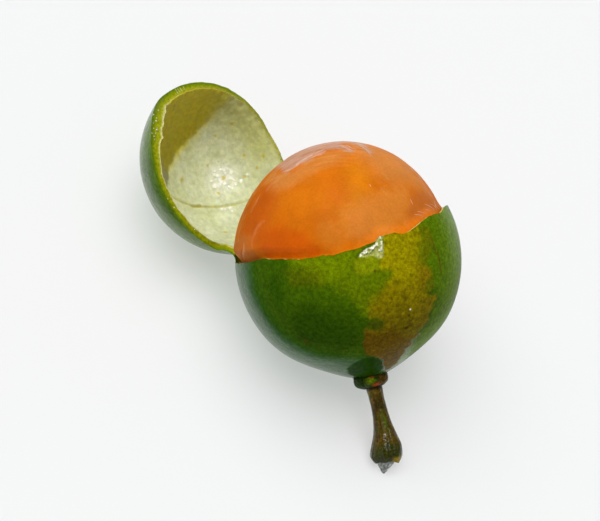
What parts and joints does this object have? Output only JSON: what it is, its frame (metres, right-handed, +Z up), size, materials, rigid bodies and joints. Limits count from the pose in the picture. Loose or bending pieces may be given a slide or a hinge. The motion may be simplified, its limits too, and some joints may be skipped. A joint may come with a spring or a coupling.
{
  "type": "half-peeled guinep",
  "caption": "Round green-skinned fruit with orange flesh, its rind torn open round the middle, the torn-off cap folded back on a strip of rind, with calyx and stalk.",
  "frame": {"origin": "middle of the part's box, on the floor", "axes": "+Z up as it lies, -Y the side that the stalk points to, +Y the side of the folded-back cap"},
  "size_m": [0.0356, 0.058, 0.0294],
  "materials": {
    "rind": "waxy green skin with olive and brown patches, pale cream-green inside",
    "flesh": "wet translucent orange pulp",
    "calyx": "dark dried green-brown",
    "stalk": "olive-brown ridged bark with a grey torn core"
  },
  "bodies": {
    "root": {"rind": "rind", "flesh": "flesh", "calyx": "calyx", "stalk": "stalk"}
  },
  "joints": []
}
